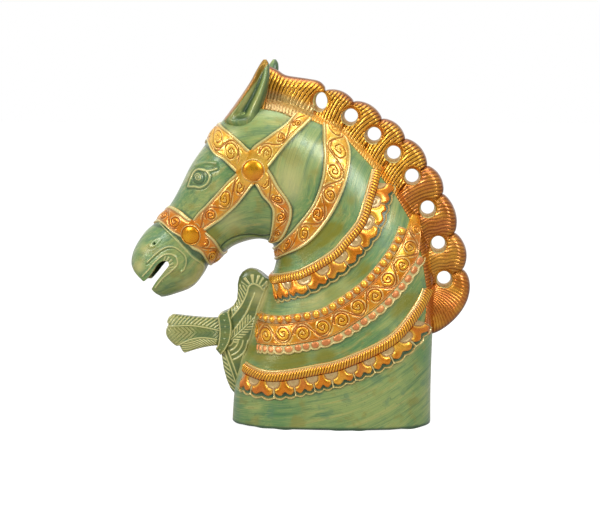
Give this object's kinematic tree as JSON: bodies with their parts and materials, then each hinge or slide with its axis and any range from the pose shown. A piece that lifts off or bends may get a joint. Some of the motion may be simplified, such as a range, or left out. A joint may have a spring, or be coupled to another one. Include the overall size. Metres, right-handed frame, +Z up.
{
  "type": "horse head statue",
  "caption": "Hollow cast horse head bust on its neck, with a pierced mane crest, bridle straps, ornamental collars and a chest plume.",
  "frame": {"origin": "centre of the overall box, on the plane that the neck's open foot stands on", "axes": "+Z up, the horse faces -X, its left side is at -Y and Y = 0 is the plane between its two halves"},
  "size_m": [0.2808, 0.1024, 0.2984],
  "materials": {
    "patina_green": "green antique patina, wiped back on the high spots",
    "gilt": "burnished gold over a brown wash",
    "copper_wash": "pinkish copper wash with a dull recess"
  },
  "bodies": {
    "root": {"body_left_half": "patina_green", "body_right_half": "patina_green", "left_ear": "patina_green", "right_ear": "patina_green", "chest_plume": "patina_green", "mane_crest": "gilt", "noseband": "gilt", "browband": "gilt", "throat_collar": "gilt", "left_cheek_strap": "gilt", "right_cheek_strap": "gilt", "left_throatlatch": "gilt", "right_throatlatch": "gilt", "left_cheek_rosette": "gilt", "right_cheek_rosette": "gilt", "left_nose_rosette": "gilt", "right_nose_rosette": "gilt", "left_upper_collar_rope": "gilt", "right_upper_collar_rope": "gilt", "left_middle_collar_beads": "gilt", "right_middle_collar_beads": "gilt", "left_middle_collar_band": "gilt", "right_middle_collar_band": "gilt", "left_lower_collar_rope": "gilt", "right_lower_collar_rope": "gilt", "left_upper_collar_pendants": "copper_wash", "right_upper_collar_pendants": "copper_wash", "left_middle_collar_petals": "copper_wash", "right_middle_collar_petals": "copper_wash", "left_lower_collar_pendants": "copper_wash", "right_lower_collar_pendants": "copper_wash"}
  },
  "joints": []
}
